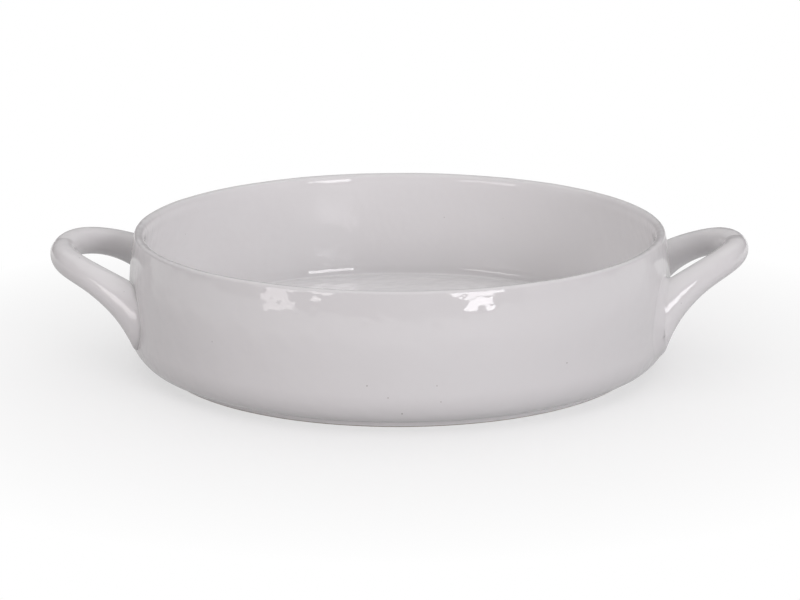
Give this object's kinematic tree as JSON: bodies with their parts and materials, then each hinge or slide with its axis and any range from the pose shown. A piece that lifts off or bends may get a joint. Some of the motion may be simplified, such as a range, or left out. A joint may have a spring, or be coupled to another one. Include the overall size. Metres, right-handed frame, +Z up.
{
  "type": "gratin dish",
  "caption": "Round shallow glazed stoneware gratin dish with upright walls, a foot ring and loop handles luted to the outside of the wall.",
  "frame": {"origin": "on the bowl's axis, at the level of the foot ring that the dish stands on", "axes": "+Z up out of the bowl, +X from the bowl's axis to the right handle, +Y to the back"},
  "size_m": [0.3417, 0.2664, 0.0659],
  "materials": {
    "glazed_stoneware": "gloss off-white glaze",
    "slip": "clay slip fired under the same gloss off-white glaze"
  },
  "bodies": {
    "root": {"bowl": "glazed_stoneware", "left_handle": "glazed_stoneware", "right_handle": "glazed_stoneware", "left_front_slip_joint": "slip", "left_rear_slip_joint": "slip", "right_front_slip_joint": "slip", "right_rear_slip_joint": "slip"}
  },
  "joints": []
}
